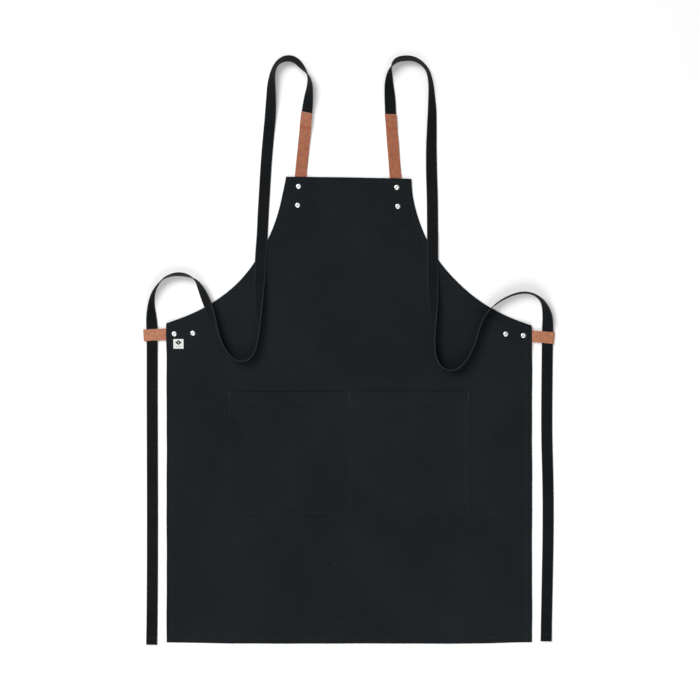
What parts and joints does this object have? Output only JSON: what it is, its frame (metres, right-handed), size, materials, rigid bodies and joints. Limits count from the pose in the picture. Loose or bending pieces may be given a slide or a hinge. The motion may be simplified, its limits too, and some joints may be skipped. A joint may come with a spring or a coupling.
{
  "type": "bib apron",
  "caption": "Full-length canvas bib apron laid flat, with a divided front pocket, riveted leather shoulder tabs and side loops, and loose webbing straps.",
  "frame": {"origin": "middle of the apron, straps left out, on the surface that it lies on", "axes": "+X to the right seen from the front, +Y up the apron towards the bib, +Z out of the apron's front"},
  "size_m": [0.7951, 1.135, 0.0236],
  "materials": {
    "canvas": "near-black woven cotton canvas, matt",
    "webbing": "black flat-woven cotton webbing",
    "tan_leather": "tan vegetable-tanned leather, cut edges",
    "nickel": "polished nickel-plated double-cap rivets",
    "label_cloth": null
  },
  "bodies": {
    "root": {"apron_panel": "canvas", "front_pocket": "canvas", "woven_label": "label_cloth", "left_tab_base": "tan_leather", "left_side_loop": "tan_leather", "left_strap_front": "webbing", "left_strap_arch": "webbing", "left_shoulder_rivet_upper_cap": "nickel", "left_shoulder_rivet_upper_back": "nickel", "left_shoulder_rivet_lower_cap": "nickel", "left_shoulder_rivet_lower_back": "nickel", "left_loop_rivet_outer_cap": "nickel", "left_loop_rivet_outer_back": "nickel", "left_loop_rivet_inner_cap": "nickel", "left_loop_rivet_inner_back": "nickel", "right_tab_base": "tan_leather", "right_side_loop": "tan_leather", "right_strap_front": "webbing", "right_strap_arch": "webbing", "right_shoulder_rivet_upper_cap": "nickel", "right_shoulder_rivet_upper_back": "nickel", "right_shoulder_rivet_lower_cap": "nickel", "right_shoulder_rivet_lower_back": "nickel", "right_loop_rivet_outer_cap": "nickel", "right_loop_rivet_outer_back": "nickel", "right_loop_rivet_inner_cap": "nickel", "right_loop_rivet_inner_back": "nickel"},
    "left_shoulder": {"left_tab_upper": "tan_leather", "left_strap_bight": "webbing"},
    "right_shoulder": {"right_tab_upper": "tan_leather", "right_strap_bight": "webbing"},
    "left_tie": {"left_strap_tail": "webbing"},
    "right_tie": {"right_strap_tail": "webbing"}
  },
  "joints": [
    {"name": "left_shoulder_fold", "type": "hinge", "parent": "root", "child": "left_shoulder", "pos_m": [-0.081, 0.3903, 0.0045], "axis": [1, 0, 0], "range_deg": [0, 165]},
    {"name": "right_shoulder_fold", "type": "hinge", "parent": "root", "child": "right_shoulder", "pos_m": [0.081, 0.3903, 0.0045], "axis": [1, 0, 0], "range_deg": [0, 165]},
    {"name": "left_tie_slide", "type": "slide", "parent": "root", "child": "left_tie", "axis": [0, 1, 0], "range_m": [-0.02, 0.1], "deforming": ["left_strap_arch"]},
    {"name": "right_tie_slide", "type": "slide", "parent": "root", "child": "right_tie", "axis": [0, 1, 0], "range_m": [-0.02, 0.1], "deforming": ["right_strap_arch"]}
  ]
}
